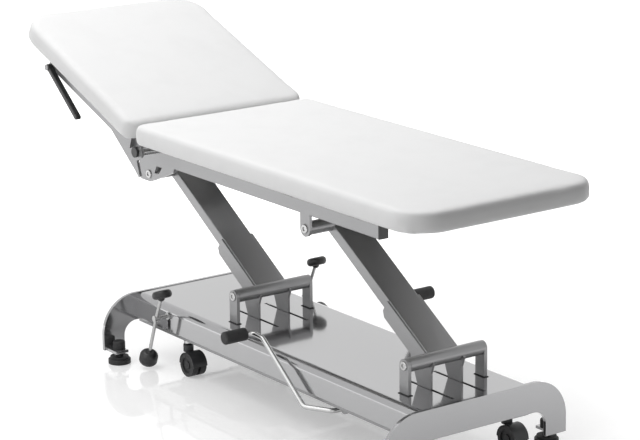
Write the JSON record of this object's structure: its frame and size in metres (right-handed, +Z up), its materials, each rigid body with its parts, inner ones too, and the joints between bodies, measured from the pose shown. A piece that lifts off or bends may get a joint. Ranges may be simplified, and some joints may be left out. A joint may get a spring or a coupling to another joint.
{
  "type": "examination table",
  "caption": "Height-adjustable padded examination table with raising backrest, parallelogram lift, foot pedals and castors.",
  "frame": {"origin": "on the floor, under the middle of the overall length and width", "axes": "+X from the raised backrest at the head end to the foot end, +Y to the far side, away from the near pedal's side, +Z up"},
  "size_m": [1.9364, 0.62, 0.9732],
  "materials": {
    "upholstery": "matte synthetic leather",
    "silver_paint": "smooth metallic silver powder coat",
    "frame_paint": "satin metallic grey powder coat",
    "steel": "satin plated steel",
    "chrome_rod": "polished rod",
    "black_rubber": "matte",
    "black_plastic": "satin moulded",
    "grey_plastic": "satin moulded",
    "tyre": "matte",
    "board": "sealed plywood"
  },
  "bodies": {
    "base": {"end_plate_head": "silver_paint", "end_plate_foot": "silver_paint", "base_cover": "silver_paint", "base_frame": "frame_paint", "stand_head_near": "frame_paint", "stand_head_far": "frame_paint", "stand_foot_near": "frame_paint", "stand_foot_far": "frame_paint", "lift_cylinder": "frame_paint", "pivot_shaft_head_low": "steel", "pivot_shaft_foot_low": "steel", "leveller_head_near": "black_rubber", "leveller_head_far": "black_rubber", "leveller_foot_near": "black_rubber", "leveller_foot_far": "black_rubber", "stand_gaskets": "black_rubber"},
    "arm_head": {"arm_head": "frame_paint", "arm_cheek_head_near": "frame_paint", "arm_cheek_head_far": "frame_paint"},
    "arm_foot": {"arm_foot": "frame_paint", "arm_cheek_foot_near": "frame_paint", "arm_cheek_foot_far": "frame_paint"},
    "tie": {"tie_bar": "steel"},
    "ram": {"lift_ram": "chrome_rod"},
    "top": {"rail_near": "frame_paint", "rail_far": "frame_paint", "cross_tube_head": "frame_paint", "cross_tube_mid": "frame_paint", "cross_tube_foot": "frame_paint", "strut_cylinder": "frame_paint", "pivot_shaft_head_high": "steel", "pivot_shaft_foot_high": "steel", "hinge_tube": "steel", "rail_caps": "black_plastic", "hinge_caps": "black_plastic", "main_pad": "upholstery", "main_board": "board"},
    "backrest": {"back_pad": "upholstery", "back_pad_edge": "upholstery", "back_board": "board", "back_frame": "frame_paint"},
    "lever": {"release_lever": "black_plastic"},
    "strut": {"strut_rod": "chrome_rod"},
    "castor_head_near": {"castor_fork_head_near": "grey_plastic"},
    "wheels_head_near": {"castor_wheels_head_near": "tyre"},
    "castor_head_far": {"castor_fork_head_far": "grey_plastic"},
    "wheels_head_far": {"castor_wheels_head_far": "tyre"},
    "castor_foot_near": {"castor_fork_foot_near": "grey_plastic"},
    "wheels_foot_near": {"castor_wheels_foot_near": "tyre"},
    "castor_foot_far": {"castor_fork_foot_far": "grey_plastic"},
    "wheels_foot_far": {"castor_wheels_foot_far": "tyre"},
    "pedals": {"pedal_bar": "steel", "pedal_grip_near": "black_rubber", "pedal_grip_far": "black_rubber"},
    "rocker_near": {"rocker_near": "steel", "rocker_near_knob_top": "black_plastic", "rocker_near_knob_low": "black_plastic"},
    "rocker_far": {"rocker_far": "steel", "rocker_far_knob_top": "black_plastic", "rocker_far_knob_low": "black_plastic"}
  },
  "joints": [
    {"name": "lift", "type": "hinge", "parent": "base", "child": "arm_head", "pos_m": [-0.08982, 0, 0.269], "axis": [0, 1, 0], "range_deg": [-26.4, 27]},
    {"name": "lift_foot_arm", "type": "hinge", "parent": "base", "child": "arm_foot", "pos_m": [0.69518, 0, 0.269], "axis": [0, 1, 0], "range_deg": [-26.4, 27]},
    {"name": "lift_top", "type": "hinge", "parent": "arm_head", "child": "top", "pos_m": [-0.52127, 0, 0.54281], "axis": [0, 1, 0], "range_deg": [-27, 26.4]},
    {"name": "lift_tie", "type": "hinge", "parent": "arm_head", "child": "tie", "pos_m": [-0.08982, 0, 0.154], "axis": [0, 1, 0], "range_deg": [-27, 26.4]},
    {"name": "lift_ram", "type": "slide", "parent": "base", "child": "ram", "axis": [-1, 0, 0], "range_m": [-0.0535, 0.0535]},
    {"name": "backrest", "type": "hinge", "parent": "top", "child": "backrest", "pos_m": [-0.36477, 0, 0.65781], "axis": [0, 1, 0], "range_deg": [-20.8, 49.2], "deforming": ["back_pad_edge"]},
    {"name": "strut_slide", "type": "slide", "parent": "top", "child": "strut", "axis": [-1, 0, 0], "range_m": [-0.021, 0.049]},
    {"name": "release_lever", "type": "hinge", "parent": "backrest", "child": "lever", "pos_m": [-0.80807, -0.2895, 0.8369], "axis": [0, 1, 0], "range_deg": [-14, 0], "stiffness_Nm_per_rad": 2, "springref_deg": 17.19},
    {"name": "pump_pedals", "type": "hinge", "parent": "base", "child": "pedals", "pos_m": [0.44418, 0, 0.086], "axis": [0, 1, 0], "range_deg": [-15, 0], "stiffness_Nm_per_rad": 30, "springref_deg": 14.32},
    {"name": "rocker_near", "type": "hinge", "parent": "base", "child": "rocker_near", "pos_m": [-0.33982, -0.18, 0.163], "axis": [0, 1, 0], "range_deg": [-12, 12]},
    {"name": "rocker_far", "type": "hinge", "parent": "base", "child": "rocker_far", "pos_m": [-0.25082, 0.18, 0.163], "axis": [0, 1, 0], "range_deg": [-12, 12]},
    {"name": "swivel_head_near", "type": "hinge", "parent": "base", "child": "castor_head_near", "pos_m": [-0.27782, -0.165, 0.06], "axis": [0, 0, 1], "continuous": true},
    {"name": "roll_head_near", "type": "hinge", "parent": "castor_head_near", "child": "wheels_head_near", "pos_m": [-0.25382, -0.165, 0.034], "axis": [0, 1, 0], "continuous": true},
    {"name": "swivel_head_far", "type": "hinge", "parent": "base", "child": "castor_head_far", "pos_m": [-0.27782, 0.165, 0.06], "axis": [0, 0, 1], "continuous": true},
    {"name": "roll_head_far", "type": "hinge", "parent": "castor_head_far", "child": "wheels_head_far", "pos_m": [-0.25382, 0.165, 0.034], "axis": [0, 1, 0], "continuous": true},
    {"name": "swivel_foot_near", "type": "hinge", "parent": "base", "child": "castor_foot_near", "pos_m": [0.75618, -0.165, 0.06], "axis": [0, 0, 1], "continuous": true},
    {"name": "roll_foot_near", "type": "hinge", "parent": "castor_foot_near", "child": "wheels_foot_near", "pos_m": [0.78018, -0.165, 0.034], "axis": [0, 1, 0], "continuous": true},
    {"name": "swivel_foot_far", "type": "hinge", "parent": "base", "child": "castor_foot_far", "pos_m": [0.75618, 0.165, 0.06], "axis": [0, 0, 1], "continuous": true},
    {"name": "roll_foot_far", "type": "hinge", "parent": "castor_foot_far", "child": "wheels_foot_far", "pos_m": [0.78018, 0.165, 0.034], "axis": [0, 1, 0], "continuous": true}
  ],
  "couplings": [
    {"joint": "lift_foot_arm", "follows": "lift", "ratio": 1},
    {"joint": "lift_top", "follows": "lift", "ratio": -1},
    {"joint": "lift_tie", "follows": "lift", "ratio": -1},
    {"joint": "lift_ram", "follows": "lift", "m_per_rad": 0.1118},
    {"joint": "strut_slide", "follows": "backrest", "m_per_rad": 0.0567}
  ]
}
